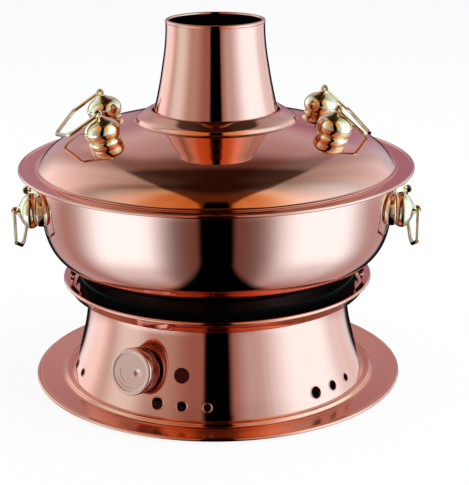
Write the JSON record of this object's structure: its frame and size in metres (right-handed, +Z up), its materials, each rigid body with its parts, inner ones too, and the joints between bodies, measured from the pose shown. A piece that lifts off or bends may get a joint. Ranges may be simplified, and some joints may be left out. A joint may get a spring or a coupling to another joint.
{
  "type": "chimney hot pot",
  "caption": "Electric hot pot: flared base with heating plate, wide-brimmed bowl round a central chimney, domed lift-off lid, onion-shaped posts with swinging wire bails.",
  "frame": {"origin": "on the axis of revolution, on the surface that the rubber feet stand on", "axes": "+Z up along the axis, front with the knob towards -Y, handle pairs near +X and -X"},
  "size_m": [0.3654, 0.3564, 0.3295],
  "materials": {
    "copper_finish": null,
    "copper_knob": "turned aluminium, satin copper colour",
    "pale_gold": "polished pale gold plating",
    "black_plate": "cast aluminium with a black coating",
    "plain_steel": "plain zinc-coated steel",
    "black_sheet": "black painted sheet",
    "rubber": "matte black rubber",
    "dark_plastic": "matte black heat-resisting plastic",
    "red_lens": "clear dark red plastic, unlit"
  },
  "bodies": {
    "base": {"foot_plate": "copper_finish", "base_housing": "copper_finish", "base_dish": "copper_finish", "heating_plate": "black_plate", "heating_element": "plain_steel", "heat_shield": "plain_steel", "plate_studs": "plain_steel", "plate_spacers": "plain_steel", "plate_nuts": "plain_steel", "dish_screws": "plain_steel", "dish_nuts": "plain_steel", "bottom_cover": "black_sheet", "cover_screws": "plain_steel", "rubber_feet": "rubber", "foot_screws": "plain_steel", "foot_nuts": "plain_steel", "thermostat_body": "dark_plastic", "thermostat_nut": "plain_steel", "lamp_lens": "red_lens", "lamp_body": "dark_plastic", "lamp_clip": "plain_steel", "power_inlet": "dark_plastic", "inlet_pins": "plain_steel"},
    "knob": {"control_knob": "copper_knob", "thermostat_spindle": "plain_steel"},
    "pot": {"pot_bowl": "copper_finish", "chimney_tube": "copper_finish", "pot_base_disc": "copper_finish", "pot_post_bases": "pale_gold", "pot_post_rivets": "plain_steel", "pot_post_right_front": "pale_gold", "pot_post_right_rear": "pale_gold", "pot_post_left_front": "pale_gold", "pot_post_left_rear": "pale_gold"},
    "lid": {"lid_dome": "copper_finish", "lid_collar": "copper_finish", "lid_locating_ring": "copper_finish", "lid_post_bases": "pale_gold", "lid_post_rivets": "plain_steel", "lid_post_right_front": "pale_gold", "lid_post_right_rear": "pale_gold", "lid_post_left_front": "pale_gold", "lid_post_left_rear": "pale_gold"},
    "lid_bail_right": {"lid_bail_right": "pale_gold"},
    "lid_bail_left": {"lid_bail_left": "pale_gold"},
    "pot_bail_right": {"pot_bail_right": "pale_gold"},
    "pot_bail_left": {"pot_bail_left": "pale_gold"}
  },
  "joints": [
    {"name": "pot_lift", "type": "slide", "parent": "base", "child": "pot", "axis": [0, 0, 1], "range_m": [0, 0.12]},
    {"name": "lid_lift", "type": "slide", "parent": "pot", "child": "lid", "axis": [0, 0, 1], "range_m": [0, 0.15]},
    {"name": "knob_turn", "type": "hinge", "parent": "base", "child": "knob", "pos_m": [-0.06343, -0.10768, 0.0418], "axis": [-0.4923, -0.8357, 0.2435], "range_deg": [0, 270]},
    {"name": "lid_bail_right_swing", "type": "hinge", "parent": "lid", "child": "lid_bail_right", "pos_m": [0.10405, 0.00728, 0.25604], "axis": [0.0698, -0.9976, 0], "range_deg": [0, 222]},
    {"name": "lid_bail_left_swing", "type": "hinge", "parent": "lid", "child": "lid_bail_left", "pos_m": [-0.10405, -0.00728, 0.25604], "axis": [-0.0698, 0.9976, 0], "range_deg": [-7, 215]},
    {"name": "pot_bail_right_swing", "type": "hinge", "parent": "pot", "child": "pot_bail_right", "pos_m": [0.17919, 0, 0.1645], "axis": [0, -1, 0], "range_deg": [0, 170]},
    {"name": "pot_bail_left_swing", "type": "hinge", "parent": "pot", "child": "pot_bail_left", "pos_m": [-0.17919, 0, 0.1645], "axis": [0, 1, 0], "range_deg": [0, 170]}
  ]
}
